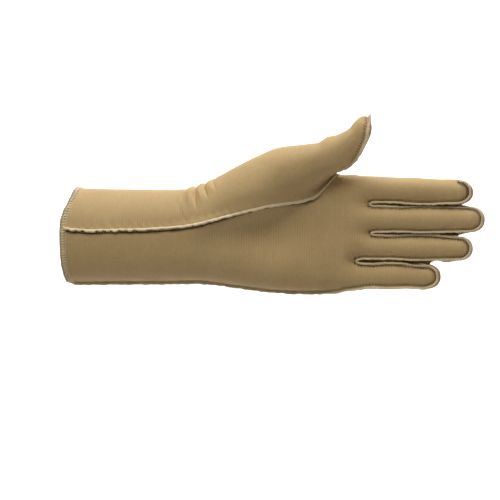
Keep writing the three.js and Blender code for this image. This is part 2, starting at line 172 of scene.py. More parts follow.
def sd_hand(p):
    x, y, z = p.T
    # hollow of the palm, steeper below the ball of the thumb
    y = y - 4.2 * np.exp(-(((x - 140) / 34) ** 2) - ((z + 1) / 14) ** 2) * ss(-y, 2, 12)
    y = y - 3.0 * np.exp(-(((x - 141) / 23) ** 2) - ((z - 11) / np.where(z > 11, 7.0, 22)) ** 2) * ss(-y, 2, 12)
    back = END["lag"] * (1 - ss(z, END["lag_to"], END["lag_from"]))
    xs = x
    for _ in range(3):
        xs = x + back * ss(xs, 140, END["x"])
    r = curve(HAND[:, 0], HAND[:, 1:], xs)
    b, a, n = (r[:, 3] - r[:, 2]) / 2, (r[:, 0] - r[:, 1]) / 2, r[:, 4]
    dy, dz = (y - (r[:, 3] + r[:, 2]) / 2) / b, np.abs(z - (r[:, 0] + r[:, 1]) / 2) / a
    u = np.clip((xs - END["x"] + END["round"]) / END["round"], 0, None)
    ey = np.maximum(np.hypot(dy, u), 1e-6)
    q = np.maximum((ey**n + dz**n) ** (1 / n), 1e-3)
    de, dzz = (ey / q) ** (n - 1), (dz / q) ** (n - 1) / a
    g = np.sqrt(de**2 * ((dy / ey / b) ** 2 + (u / ey / END["round"]) ** 2) + dzz**2)
    return np.maximum((q - 1) / np.maximum(g, 0.015), -25)


def slit_gap(i, x):
    """Distance between two neighbouring fingers' sides."""
    a, b = FINGERS[SLITS[i]["a"]], FINGERS[SLITS[i]["b"]]
    ta, tb = (np.clip((x - f["x0"]) / (f["xt"] - f["x0"]), 0, 1) for f in (a, b))
    return (lerp(a["zr"], a["zt"], ta) - lerp(a["wr"], a["wt"], ta)) - (lerp(b["zr"], b["zt"], tb) + lerp(b["wr"], b["wt"], tb))


LONGER = (1, 1, 2)    # the longer finger beside each slit


def side_swell(i, own, x):
    """How far a finger swells into the space between it and its neighbour: the longer one towards the back, the other towards the palm."""
    gap = np.clip(slit_gap(i, x), 0.4, None)
    end = min(FINGERS[SLITS[i]["a"]]["xt"], FINGERS[SLITS[i]["b"]]["xt"])
    start = ss(x, SLITS[i]["web"] - 8, SLITS[i]["web"] - 1)
    if own != LONGER[i]:
        return np.minimum(0.5 * gap + 0.6, 0.9 * gap) * start * (1 - ss(x, end - 24, end - 8))
    far = FINGERS[own]["xt"]
    more = 0.35 * gap * ss(x, end - 24, end - 10)
    return np.minimum(0.65 * gap + 0.7 + more, gap + 0.2) * start * (1 - ss(x, far - 22, far - 8)) * (1 - ss(x, end - 10, end + 1))


def finger_at(f, x):
    t = np.clip((x - f["x0"]) / (f["xt"] - f["x0"]), 0, 1)
    return lerp(f["yr"], f["yt"], t * t), lerp(f["zr"], f["zt"], t), lerp(f["dr"], f["dt"], t), lerp(f["wr"], f["wt"], t)


def sd_finger(p, f):
    x, y, z = p.T
    yc, zc, b, a = finger_at(f, x)
    k = lerp(FINGER["root"], 1, ss(x, f["x0"], f["x0"] + FINGER["root_len"]))
    # a little fuller over the pads, a little slimmer at the joints
    along = (x - f["x0"]) / (f["xt"] - f["x0"])
    k = k * (1 + 0.022 * np.cos(2 * np.pi * (along - 0.9) / 0.29) * ss(along, 0.3, 0.5))
    b, a, n = b * k, a * k, FINGER["power"]
    i = FINGERS.index(f)
    if i < 3:
        a = np.where(z < zc, a + side_swell(i, i, x) * np.exp(-(((y - yc - (2.8 if LONGER[i] == i else -2.6)) / 1.9) ** 2)), a)
    if i > 0:
        a = np.where(z > zc, a + side_swell(i - 1, i, x) * np.exp(-(((y - yc - (2.8 if LONGER[i - 1] == i else -2.6)) / 1.9) ** 2)), a)
    dy, dz = np.abs(y - yc) / b, np.abs(z - zc) / a
    u = np.clip((x - f["xt"] + f["tip"]) / f["tip"], 0, None)
    q = np.maximum((dy**n + dz**n) ** (1 / n), 1e-3)
    m = FINGER["tip_power"]
    R = (q**m + u**m) ** (1 / m)
    g = np.sqrt((q / R) ** (2 * m - 2) * (((dy / q) ** (n - 1) / b) ** 2 + ((dz / q) ** (n - 1) / a) ** 2) + ((u / R) ** (m - 1) / f["tip"]) ** 2)
    return np.maximum(np.maximum((R - 1) / np.maximum(g, 0.03), -12), f["x0"] - x)


def sd_thumb(p):
    best = np.full(len(p), 1e9)
    at = np.zeros(len(p), int)
    for i in range(0, len(_axis), 2):
        d = ((p - _axis[i, :3]) ** 2).sum(1)
        m = d < best
        best[m], at[m] = d[m], i
    d = p - _axis[at, :3]
    along = (d * _axis_t[at]).sum(1)
    s = _axis_s[at] + along
    d = d - along[:, None] * _axis_t[at]
    w, dd = (d * _axis_w[at]).sum(1), (d * _axis_d[at]).sum(1)
    size = np.stack([np.interp(s, _axis_s, _axis[:, k]) for k in (3, 4)], 1)
    n = THUMB_SHAPE["power"]
    a, b = size.T
    bump = curve(THUMB_BUMPS[:, 0], THUMB_BUMPS[:, 1:], p[:, 0])
    a = a + np.where(w > 0, bump[:, 0], bump[:, 1])
    dy, dz = np.abs(dd) / b, np.abs(w) / a
    u = np.clip((s - THUMB_LENGTH + THUMB_SHAPE["tip"]) / THUMB_SHAPE["tip"], 0, None)
    q = np.maximum((dy**n + dz**n) ** (1 / n), 1e-3)
    R = np.hypot(q, u)
    g = np.sqrt((q / R) ** 2 * (((dy / q) ** (n - 1) / b) ** 2 + ((dz / q) ** (n - 1) / a) ** 2) + (u / R / THUMB_SHAPE["tip"]) ** 2)
    return np.maximum(np.maximum((R - 1) / np.maximum(g, 0.02), -20), -s)


def smin(a, b, k):
    h = np.maximum(k - np.abs(a - b), 0) / k
    return np.minimum(a, b) - h * h * k / 4


def field(p):
    """Distance to the worn form's outside, below 0 inside."""
    # the ball of the thumb stands out most just above the palm seam and slopes back from there to the thumb-side edge
    up = p[:, 2] - np.interp(p[:, 0], THUMB_LINE[:, 0], THUMB_LINE[:, 1])
    full = 5.0 * ss(p[:, 0], 74, 98) * (1 - ss(p[:, 0], 122, 150)) * ss(-p[:, 1], 2, 12)
    p = p + np.array([0, 1.0, 0]) * (full * np.exp(-(np.maximum(-up - 1, 0) / 8.0) ** 2) * (1 - ss(up, -6, 30)))[:, None]
    hand = sd_hand(p)
    out = hand.copy()
    for f in FINGERS:
        m = (p[:, 0] > f["x0"] - 4) & (np.abs(p[:, 2] - f["zr"]) < 22)
        if m.any():
            z = p[m, 2]
            k = 5.0 * (1 - 0.8 * np.maximum(ss(z, 30, 36), ss(-z, 27, 33)))   # no swelling on the hand's two outer sides
            out[m] = np.minimum(out[m], smin(hand[m], sd_finger(p[m], f), k))
    m = (p[:, 0] > 76) & (p[:, 2] > -14) & (p[:, 0] < 215)
    if m.any():
        k = lerp(5.0, 11.0, ss(p[m, 0], 95, 140))
        out[m] = np.minimum(out[m], smin(hand[m], sd_thumb(p[m]), k))
    return out


def slope(p, e=0.25):
    g = np.empty_like(p)
    for k in range(3):
        d = np.zeros(3)
        d[k] = e
        g[:, k] = field(p + d) - field(p - d)
    return g / (2 * e)


def project(p, times=3, level=0.0, most=1.5):
    for _ in range(times):
        g = slope(p)
        step = (field(p) - level)[:, None] * g / np.maximum((g * g).sum(1, keepdims=True), 0.2)
        l = np.linalg.norm(step, axis=1, keepdims=True)
        p = p - step * np.minimum(1, most / np.maximum(l, 1e-9))
    return p


def cast(o, d, reach=60.0, step=0.4):
    """First point on the outside, going from inside points o along d."""
    o, d = np.atleast_2d(np.asarray(o, float)), unit(np.atleast_2d(np.asarray(d, float)))
    n = int(reach / step)
    t = np.arange(n + 1) * step
    q = o[:, None] + t[None, :, None] * d[:, None]
    v = field(q.reshape(-1, 3)).reshape(len(o), n + 1)
    out = v > 0
    first = np.argmax(out, 1)
    ok = out.any(1) & (first > 0)
    lo, hi = t[np.maximum(first - 1, 0)], t[first]
    for _ in range(12):
        mid = (lo + hi) / 2
        m = field(o + mid[:, None] * d) > 0
        hi, lo = np.where(m, mid, hi), np.where(m, lo, mid)
    return (o + ((lo + hi) / 2)[:, None] * d)[ok]


# ------------------------------------------------------------------ the form's surface as a mesh


def surface():
    lo, hi = np.array([-4.0, -33.0, -42.0]), np.array([270.0, 27.0, 80.0])
    n = np.ceil((hi - lo) / GRID).astype(int) + 1
    ax = [lo[k] + GRID * np.arange(n[k]) for k in range(3)]
    F = np.empty(n)
    for i in range(n[0]):  # slice by slice
        yy, zz = np.meshgrid(ax[1], ax[2], indexing="ij")
        F[i] = field(np.stack([np.full(yy.size, ax[0][i]), yy.ravel(), zz.ravel()], 1)).reshape(n[1], n[2])
    F[F == 0] = 1e-6
    inside = F < 0
    count = np.zeros(n - 1, int)
    for dx in (0, 1):
        for dy in (0, 1):
            for dz in (0, 1):
                count += inside[dx:n[0] - 1 + dx, dy:n[1] - 1 + dy, dz:n[2] - 1 + dz]
    cells = np.argwhere((count > 0) & (count < 8))
    index = np.full(n - 1, -1)
    index[tuple(cells.T)] = np.arange(len(cells))
    total, times = np.zeros((len(cells), 3)), np.zeros(len(cells))
    for k in range(3):
        a, b = [(1, 2), (0, 2), (0, 1)][k]
        for da in (0, 1):
            for db in (0, 1):
                c0 = cells.copy()
                c0[:, a] += da
                c0[:, b] += db
                c1 = c0.copy()
                c1[:, k] += 1
                f0, f1 = F[tuple(c0.T)], F[tuple(c1.T)]
                m = (f0 < 0) != (f1 < 0)
                t = f0[m] / (f0[m] - f1[m])
                q = c0[m].astype(float)
                q[:, k] += t
                total[m] += q
                times[m] += 1
    v = lo + GRID * total / times[:, None]
    quads = []
    for k in range(3):
        a, b = [(1, 2), (2, 0), (0, 1)][k]
        s0 = [slice(None)] * 3
        s1 = [slice(None)] * 3
        s0[k], s1[k] = slice(0, -1), slice(1, None)
        change = inside[tuple(s0)] != inside[tuple(s1)]
        e = np.argwhere(change)
        e = e[(e[:, a] > 0) & (e[:, b] > 0) & (e[:, a] < n[a] - 1) & (e[:, b] < n[b] - 1)]
        ring = []
        for da, db in ((-1, -1), (0, -1), (0, 0), (-1, 0)):
            c = e.copy()
            c[:, a] += da
            c[:, b] += db
            ring.append(index[tuple(c.T)])
        q = np.stack(ring, 1)
        flip = ~inside[tuple(e.T)]
        q[flip] = q[flip][:, ::-1]
        quads.append(q)
    quads = np.concatenate(quads)
    # even out the points over the surface
    edges = np.unique(np.sort(np.concatenate([quads[:, [0, 1]], quads[:, [1, 2]], quads[:, [2, 3]], quads[:, [3, 0]]]), axis=1), axis=0)
    v = project(v, 2)
    deg = np.bincount(edges.ravel(), minlength=len(v))[:, None]
    for _ in range(4):
        m = np.zeros_like(v)
        np.add.at(m, edges[:, 0], v[edges[:, 1]])
        np.add.at(m, edges[:, 1], v[edges[:, 0]])
        m /= np.maximum(deg, 1)
        nrm = unit(slope(v))
        d = m - v
        d -= (d * nrm).sum(1, keepdims=True) * nrm
        v = project(v + 0.5 * d, 1)
    tri = np.concatenate([quads[:, [0, 1, 2]], quads[:, [0, 2, 3]]])
    return v, tri


def split(v, tri, f):
    """Cuts triangles where f changes sign. Returns the points and the triangles with f above and below 0."""
    f = np.where(np.abs(f) < 1e-6, 1e-6, f)
    s = f[tri] > 0
    k = s.sum(1)
    above, below = [tri[k == 3]], [tri[k == 0]]
    new = []
    base = len(v)
    mixed = tri[(k == 1) | (k == 2)]
    if len(mixed):
        sm = f[mixed] > 0
        lone_up = sm.sum(1) == 1
        lone = np.where(lone_up, np.argmax(sm, 1), np.argmin(sm, 1))
        r = np.arange(len(mixed))
        a, b, c = mixed[r, lone], mixed[r, (lone + 1) % 3], mixed[r, (lone + 2) % 3]
        e = np.concatenate([np.stack([a, b], 1), np.stack([a, c], 1)])
        key, inv = np.unique(np.sort(e, axis=1), axis=0, return_inverse=True)
        inv = inv.ravel()
        t = f[key[:, 0]] / (f[key[:, 0]] - f[key[:, 1]])
        t = np.clip(t, 0.02, 0.98)[:, None]
        new = v[key[:, 0]] * (1 - t) + v[key[:, 1]] * t
        p, q = base + inv[:len(a)], base + inv[len(a):]
        one = np.stack([a, p, q], 1)
        two = np.concatenate([np.stack([p, b, c], 1), np.stack([p, c, q], 1)])
        two_up = np.concatenate([lone_up, lone_up])
        above += [one[lone_up], two[~two_up]]
        below += [one[~lone_up], two[two_up]]
        v = np.concatenate([v, new])
    return v, np.concatenate(above), np.concatenate(below)


def refine(v, tri, want):
    """Halves the edges that want picks, with the mesh kept joined."""
    e = np.sort(np.concatenate([tri[:, [0, 1]], tri[:, [1, 2]], tri[:, [2, 0]]]), axis=1)
    code, inv = np.unique(e[:, 0] * len(v) + e[:, 1], return_inverse=True)
    key = np.stack([code // len(v), code % len(v)], 1)
    mid = (v[key[:, 0]] + v[key[:, 1]]) / 2
    pick = want(mid)
    number = np.full(len(key), -1)
    number[pick] = len(v) + np.arange(pick.sum())
    m = number[inv.reshape(3, -1)].T      # the new points on edges 01, 12 and 20
    k = (m >= 0).sum(1)
    out = [tri[k == 0]]
    t, q = tri[k == 3], m[k == 3]
    out += [np.stack(c, 1) for c in ((t[:, 0], q[:, 0], q[:, 2]), (q[:, 0], t[:, 1], q[:, 1]), (q[:, 2], q[:, 1], t[:, 2]), (q[:, 0], q[:, 1], q[:, 2]))]
    t, q = tri[k == 1], m[k == 1]
    j, r = np.argmax(q >= 0, 1), np.arange(len(t))
    a, b, c, n = t[r, j], t[r, (j + 1) % 3], t[r, (j + 2) % 3], q[r, j]
    out += [np.stack([a, n, c], 1), np.stack([n, b, c], 1)]
    t, q = tri[k == 2], m[k == 2]
    j, r = np.argmin(q >= 0, 1), np.arange(len(t))
    a, b, c, n, o = t[r, j], t[r, (j + 1) % 3], t[r, (j + 2) % 3], q[r, (j + 1) % 3], q[r, (j + 2) % 3]
    out += [np.stack([a, b, n], 1), np.stack([a, n, o], 1), np.stack([o, n, c], 1)]
    return np.concatenate([v, mid[pick]]), np.concatenate(out)


def polygon_field(x, z, poly):
    """Signed distance to an outline, above 0 inside."""
    a, b = poly, np.roll(poly, -1, axis=0)
    best, inside = np.full(len(x), 1e9), np.zeros(len(x), bool)
    for p, q in zip(a, b):
        d = q - p
        t = np.clip(((x - p[0]) * d[0] + (z - p[1]) * d[1]) / (d @ d), 0, 1)
        best = np.minimum(best, np.hypot(x - p[0] - t * d[0], z - p[1] - t * d[1]))
        cross = (p[1] > z) != (q[1] > z)
        if p[1] != q[1]:
            inside ^= cross & (x < (q[0] - p[0]) * (z - p[1]) / (q[1] - p[1]) + p[0])
    return np.where(inside, best, -best)


_line_u = np.concatenate([[0], np.cumsum(np.linalg.norm(np.diff(THUMB_LINE, axis=0), axis=1))])
LINE = curve(_line_u, THUMB_LINE, np.linspace(0, _line_u[-1], 140))
THUMB_SIDE = np.concatenate([LINE, [(240, LINE[-1, 1]), (240, 130), (LINE[0, 0], 130)]])


def tip_y(f):
    """How far towards the palm the seam round a fingertip lies."""
    return f["yt"] - FINGER["inset"]


def strip_edge(f, x, face):
    """The strip's edge on the palm side (-1) or the back side (1)."""
    full = f["sy"] + 1 + face * f.get("half", STRIP["half"])
    return lerp(full, tip_y(f) + (0.7 if face > 0 else 0), ss(x, f["xt"] - STRIP["taper"], f["xt"] - STRIP["end"] - 2))


def strip_field(p, slit):
    x, y, z = p.T
    out = np.full(len(p), -50.0)
    for f, low, high in ((FINGERS[slit["a"]], slit["z"], FINGERS[slit["a"]]["zt"] - 0.6), (FINGERS[slit["b"]], FINGERS[slit["b"]]["zt"] + 0.6, slit["z"])):
        d = np.minimum(np.minimum(y - strip_edge(f, x, -1), strip_edge(f, x, 1) - y), x - slit["web"] + 7)
        d = np.minimum(d, f["xt"] - STRIP["end"] - x)
        out = np.where((z >= low) & (z <= high), np.maximum(out, d), out)
    return out


# ------------------------------------------------------------------ seam lines on the surface


def seam_thumb(sign):
    p = resample(LINE, 0.4)
    p = p[p[:, 0] > 1.7]
    o = np.stack([p[:, 0], np.full(len(p), -1.4), p[:, 1]], 1)
    o = o[:np.argmax(np.append(field(o) > -0.15, True))]      # both sides meet in the fork of the thumb
    return cast(o, np.tile([0, sign, 0], (len(o), 1)))


def finger_side(f, slit, toward, face, x_from):
    x = np.arange(x_from, slit["web"] + 1.2, -1.5)
    _, z, _, _ = finger_at(f, x)
    return cast(np.stack([x, strip_edge(f, x, face), z], 1), np.tile([0, 0, toward], (len(x), 1)))


def web_path(slit, face):
    dz = np.array([1.4, 0.5, -0.5, -1.4])
    o = np.stack([np.full(4, slit["web"] - 14), np.full(4, FINGERS[slit["a"]]["sy"] + 1 + face * STRIP["half"]), slit["z"] + dz], 1)
    return cast(o, np.tile([1.0, 0, 0], (4, 1)), reach=24)


def tip_path(f, start, end):
    a = np.linspace(start, end, 15)
    o = np.tile([f["xt"] - 9, tip_y(f), f["zt"]], (15, 1))
    return cast(o, np.stack([np.cos(a), 0 * a, np.sin(a)], 1))


def seam_palm():
    out = []
    for i, f in enumerate(FINGERS):
        if i:
            out.append(finger_side(f, SLITS[i - 1], 1, -1, f["xt"] - 8)[::-1])
        out.append(tip_path(f, 1.45, -1.35))
        if i < 3:
            out += [finger_side(f, SLITS[i], -1, -1, f["xt"] - 8), web_path(SLITS[i], -1)]
        else:
            x = np.append(np.arange(f["xt"] - 10, 2.5, -3), 1.7)
            z = np.where(x > 170, finger_at(f, x)[1], -10)
            y = lerp(f["sy"], tip_y(f) + 0.9, ss(x, 165, 200))
            out.append(cast(np.stack([x, y, z], 1), np.tile([0, 0, -1.0], (len(x), 1))))
    return np.concatenate(out)


def seam_back(slit):
    a, b = FINGERS[slit["a"]], FINGERS[slit["b"]]
    return np.concatenate([finger_side(a, slit, -1, 1, a["xt"] - 7), web_path(slit, 1), finger_side(b, slit, 1, 1, b["xt"] - 7)[::-1]])


def seam_thumb_side():
    k = len(_axis) - 10
    i = np.arange(int(len(_axis) * THUMB_SHAPE["seam_from"]), k)
    first = 0
    for j, n in enumerate(i):      # from where the thumb is clear of the hand
        q = cast(_axis[n, :3], -math.cos(0.8) * _axis_w[n] + math.sin(0.8) * _axis_d[n])
        if not len(q) or sd_hand(q)[0] < 3.0:
            first = j + 1
    i = i[first:]
    turn = (0.8 - 1.75 * np.linspace(0, 1, len(i)))[:, None]   # from the back of the thumb to its palm side
    way = -np.cos(turn) * _axis_w[i] + np.sin(turn) * _axis_d[i]
    a = np.linspace(math.pi / 2 - 0.1, 0.3, 12)[:, None]
    fork = (seam_thumb(-1)[-1:] + seam_thumb(1)[-1:]) / 2
    return np.concatenate([fork, cast(_axis[i, :3], way), cast(np.tile(_axis[k, :3], (12, 1)), np.cos(a) * _axis_t[k] + np.sin(a) * way[-1])])


def settle(path, step=0.5, times=6):
    p = blur(resample(path, step), times)
    return project(resample(p, step), 2)


PATHS = {
    "seam_thumb_palm": settle(seam_thumb(-1)),
    "seam_thumb_back": settle(seam_thumb(1)),
    "seam_thumb_side": settle(seam_thumb_side()),
    "seam_fingers_palm": settle(seam_palm(), times=4),
}
for s in SLITS:
    PATHS["seam_back_" + s["name"]] = settle(seam_back(s), times=4)

# ------------------------------------------------------------------ dents, folds, puckers and painted seam shade

_seam_points = np.concatenate(list(PATHS.values()))
_seam_s = np.concatenate([np.arange(len(p)) * 0.5 + 1000 * i for i, p in enumerate(PATHS.values())])
_tree = KDTree(len(_seam_points))
for _i, _p in enumerate(_seam_points):
    _tree.insert(_p, _i)
_tree.balance()


def near_seam(p):
    d, s = np.empty(len(p)), np.empty(len(p))
    for i, q in enumerate(p):
        _, k, dist = _tree.find(q)
        d[i], s[i] = dist, _seam_s[k]
    return d, s


# folds fanning down from the thumb-side edge where the wrist bends: ridges and creases in turn
FOLDS = [
    # x at the edge, lean along x per mm down, length, height, half width
    (74.2, 0.00, 9.0, 0.5, 1.9),
    (77.6, 0.03, 12.0, -1.3, 0.75),
    (81.9, 0.10, 15.0, 1.4, 1.6),
    (85.0, 0.24, 18.0, -1.9, 0.75),
    (88.6, 0.30, 15.0, 1.25, 1.6),
    (91.4, 0.42, 13.0, -1.6, 0.75),
    (94.8, 0.50, 10.0, 0.6, 1.7),
    (97.8, 0.55, 8.0, -0.6, 0.9),
]


def folds(p):
    x, y, z = p.T
    out = np.zeros(len(p))
    down = np.maximum(0, lerp(29.5, 34.0, ss(x, 84, 100)) - z) * 1.1
    side = lerp(0.75, 1.0, ss(-y, -6, 6))
    for x0, lean, length, height, half in FOLDS:
        out += height * side * np.exp(-(((x - x0 - lean * down) / half) ** 2)) * (1 - ss(down, 0.2 * length, length)) * lerp(0.6, 1.0, ss(down, 0, 4))
    return out


def smooth_side(p, s):
    """1 where the thumb piece runs on to the flange of a wrist-to-thumb seam, 0 elsewhere."""
    return (s < 1900) * (polygon_field(p[:, 0], p[:, 2], THUMB_SIDE) > -0.01) * (1 - ss(p[:, 0], 160, 170))


def under_flange(p, s):
    """1 on the palm side of the wrist-to-thumb seams, where the flange lies over, 0 elsewhere."""
    return (s < 1900) * (polygon_field(p[:, 0], p[:, 2], THUMB_SIDE) <= -0.01) * (1 - ss(p[:, 0], 158, 166))


def dents(p, d, s):
    """Height added to the surface at each point."""
    flush = smooth_side(p, s)
    out = lerp(np.where(s < 1900, -0.35, -0.18), lerp(0.35, 1.0, ss(p[:, 0], 60, 115)), flush) * np.exp(-((d / lerp(1.3, 2.4, flush)) ** 2)) - 0.25 * np.exp(-((d / 5.0) ** 2))
    out -= 0.7 * under_flange(p, s) * np.exp(-((d / 2.0) ** 2))
    # the seams' pull gathers the cloth beside them a little
    out += 0.24 * np.sin(s * 2 * np.pi / 5.6 + 1.5 * np.sin(s / 9.0)) * np.exp(-((d / 3.4) ** 2)) * (1 - np.exp(-((d / 1.2) ** 2)))
    out += folds(p)
    # soft unevenness of stretched cloth
    out += 0.16 * noise3(p / 17.0) + 0.06 * noise3(p / 6.0 + 40)
    return out


def tipness(p):
    """1 round the fingertips, 0 elsewhere."""
    out = np.zeros(len(p))
    for f in FINGERS:
        out = np.maximum(out, ss(p[:, 0], f["xt"] - 18, f["xt"] - 9) * (np.abs(p[:, 2] - f["zt"]) < 11.5))
    return out


def low_side(p):
    """1 along the upper side of each lower finger beside a slit, where the flange lies back into it."""
    x, _, z = p.T
    out = np.zeros(len(p))
    for i, s in enumerate(SLITS):
        f = FINGERS[s["b"]]
        out = np.maximum(out, ss(x, (206, 204, 212)[i], (218, 216, 226)[i]) * (z < s["z"]) * (z > f["zt"] + 3) * (1 - ss(x, f["xt"] - 9, f["xt"] - 3)))
    return out


def painted_seam_shade(p, d, s):
    """Painted shade along the seams, 0 to 1: shade in the groove at the foot of the finger seams, deepest round the
    tips, and a painted shadow on the palm under the wrist-to-thumb seam's flange.
    """
    x, y, z = p.T
    foot = np.clip(d - 0.55, 0, None)
    tip = tipness(p)
    inner = lerp(0.25, 1.0, 1 - ss(y, -7.2, -6.2))       # the palm side of the seams round the tips
    # painted shade in the groove at the foot of the finger seams, strongest on the palm side round the tips
    out = np.where(s < 1900, 0.0, 1.0) * lerp(0.08, 0.85 * inner, tip) * np.exp(-((foot / lerp(0.5, 0.75, tip)) ** 2))
    # painted shadow on the palm, dark up to just beyond the edge of the flange lying over it
    edge = lerp(1.9, 2.3, ss(x, 60, 125))
    out += 0.95 * under_flange(p, s) * (1 - ss(d, edge, edge + 1.2))
    # the painted shade is broader at the tip of the index finger, where the seam begins
    out *= 1 - (z > 29) * (x > 235) * (1 - ss(x, 250, 252.5))
    return np.clip(out + 0.9 * inner * ss(x, 250, 252.5) * ss(z, 20, 26) * (s >= 1900) * np.exp(-((foot / 2.0) ** 2)), 0, 1)


# ------------------------------------------------------------------ meshes

ROOT = bpy.context.scene.collection
CUFF_SLANT = 6.0


def make(name, v, faces, mats, mat_index=None, attrs=None):
    mesh = bpy.data.meshes.new(name)
    v = np.array(v, float)
    v[:, 0] += CUFF_SLANT * ss(v[:, 2], 6, 31) * (1 - ss(v[:, 0], 0, 42))     # the cuff is shorter on the thumb side
    v /= 1000
    groups = faces if isinstance(faces, list) else [faces]
    sizes = np.concatenate([np.full(len(g), g.shape[1]) for g in groups])
    loops = np.concatenate([g.ravel() for g in groups]).astype(np.int32)
    mesh.vertices.add(len(v))
    mesh.vertices.foreach_set("co", v.astype(np.float32).ravel())
    mesh.loops.add(len(loops))
    mesh.loops.foreach_set("vertex_index", loops)
    mesh.polygons.add(len(sizes))
    mesh.polygons.foreach_set("loop_start", np.concatenate([[0], np.cumsum(sizes)[:-1]]).astype(np.int32))
    mesh.polygons.foreach_set("use_smooth", np.ones(len(sizes), bool))
    if mat_index is not None:
        mesh.polygons.foreach_set("material_index", np.asarray(mat_index, np.int32))
    for key, value in (attrs or {}).items():
        mesh.attributes.new(key, "FLOAT", "POINT").data.foreach_set("value", np.asarray(value, np.float32))
    mesh.update()
    mesh.validate()
    o = bpy.data.objects.new(name, mesh)
    ROOT.objects.link(o)
    for m in mats:
        mesh.materials.append(m)
    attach(o, "root")
    return o


def compact(v, tri):
    used, inv = np.unique(tri, return_inverse=True)
    return v[used], inv.reshape(tri.shape), used


def shell(v, tri, inner):
    """Closed wall: outside, inside and the edge between them."""
    n = len(v)
    e = np.concatenate([tri[:, [0, 1]], tri[:, [1, 2]], tri[:, [2, 0]]])
    key = np.sort(e, axis=1)
    _, first, uses = np.unique(key, axis=0, return_index=True, return_counts=True)
    rim = e[first[uses == 1]]
    walls = np.stack([rim[:, 1], rim[:, 0], rim[:, 0] + n, rim[:, 1] + n], 1)
    return np.concatenate([v, inner]), [tri, tri[:, ::-1] + n, walls]


# ------------------------------------------------------------------ materials


def nodes_of(name):
    m = bpy.data.materials.new(name)
    m.use_nodes = True
    t = m.node_tree
    return m, t, t.nodes["Principled BSDF"]


def add(t, kind, **sets):
    n = t.nodes.new(kind)
    for k, val in sets.items():
        setattr(n, k, val)
    return n


def math_node(t, op, a, b=None, c=None):
    n = add(t, "ShaderNodeMath", operation=op)
    for i, val in enumerate((a, b, c)):
        if val is None:
            continue
        if isinstance(val, (int, float)):
            n.inputs[i].default_value = val
        else:
            t.links.new(val, n.inputs[i])
    return n.outputs[0]


def lin(c):
    return tuple((x / 12.92 if x <= 0.04045 else ((x + 0.055) / 1.055) ** 2.4) for x in (k / 255 for k in c)) + (1.0,)


def knit_material(name, light, dark, shade_colour, contrast=1.0):
    m, t, b = nodes_of(name)
    coord = add(t, "ShaderNodeTexCoord").outputs["Object"]
    ku, off, along, shade = (add(t, "ShaderNodeAttribute", attribute_name=k).outputs["Fac"] for k in ("course", "off", "along", "shade"))
    # painted seam shade, 0 to 1
    painted_shade = add(t, "ShaderNodeAttribute", attribute_name="painted_shade").outputs["Fac"]

    def noise(scale, detail, rough=0.5):
        n = add(t, "ShaderNodeTexNoise")
        n.inputs["Scale"].default_value = scale
        n.inputs["Detail"].default_value = detail
        n.inputs["Roughness"].default_value = rough
        t.links.new(coord, n.inputs["Vector"])
        return math_node(t, "SUBTRACT", n.outputs["Fac"], 0.5)

    def wave(x, pitch, phase=0.0):
        return math_node(t, "SINE", math_node(t, "ADD", math_node(t, "MULTIPLY", x, 2 * math.pi / pitch), phase))

    broad, mid, fine = noise(48, 3), noise(420, 3, 0.6), noise(1900, 2, 0.6)
    # courses: thin ribs across the hand, slightly uneven
    rib = wave(ku, 1.5, math_node(t, "MULTIPLY", mid, 2.6))
    # colour
    f = math_node(t, "ADD", math_node(t, "MULTIPLY", broad, 0.6), 0.5)
    f = math_node(t, "ADD", f, math_node(t, "MULTIPLY", rib, 0.11 * contrast))
    f = math_node(t, "ADD", f, math_node(t, "MULTIPLY", mid, 0.7))
    f = math_node(t, "ADD", f, math_node(t, "MULTIPLY", fine, 1.0))
    clamp = add(t, "ShaderNodeClamp")
    t.links.new(f, clamp.inputs["Value"])
    tone = add(t, "ShaderNodeMix", data_type="RGBA")
    tone.inputs["A"].default_value = lin(dark)
    tone.inputs["B"].default_value = lin(light)
    t.links.new(clamp.outputs[0], tone.inputs["Factor"])
    # painted shade: needle holes darkened in a row beside each seam, and a painted shadow line under and beside the
    # seams' flanges
    row = math_node(t, "EXPONENT", math_node(t, "MULTIPLY", math_node(t, "POWER", math_node(t, "MULTIPLY", math_node(t, "SUBTRACT", off, 1.5), 1 / 0.72), 2.0), -1.0))
    hole = math_node(t, "POWER", math_node(t, "MULTIPLY", math_node(t, "ADD", wave(along, 1.85, -0.55), 1.0), 0.5), 1.2)
    sunk = math_node(t, "ADD", painted_shade, math_node(t, "MULTIPLY", math_node(t, "MULTIPLY", row, hole), shade))
    keep = add(t, "ShaderNodeClamp")
    t.links.new(sunk, keep.inputs["Value"])
    shade_mix = add(t, "ShaderNodeMix", data_type="RGBA")
    t.links.new(tone.outputs["Result"], shade_mix.inputs["A"])
    shade_mix.inputs["B"].default_value = lin(shade_colour)
    t.links.new(keep.outputs[0], shade_mix.inputs["Factor"])
    t.links.new(shade_mix.outputs["Result"], b.inputs["Base Color"])
    # relief
    height = math_node(t, "ADD", math_node(t, "MULTIPLY", rib, 0.36), math_node(t, "MULTIPLY", fine, 1.1))
    height = math_node(t, "SUBTRACT", height, math_node(t, "MULTIPLY", keep.outputs[0], 1.6))
    bump = add(t, "ShaderNodeBump")
    bump.inputs["Strength"].default_value = 0.4
    bump.inputs["Distance"].default_value = 0.00022
    t.links.new(height, bump.inputs["Height"])
    t.links.new(bump.outputs["Normal"], b.inputs["Normal"])
    t.links.new(math_node(t, "ADD", math_node(t, "MULTIPLY", mid, 0.16), 0.7), b.inputs["Roughness"])
    b.inputs["Specular IOR Level"].default_value = 0.3
    b.inputs["Sheen Weight"].default_value = 0.18
    b.inputs["Sheen Roughness"].default_value = 0.45
    b.inputs["Sheen Tint"].default_value = lin((235, 215, 180))
    return m


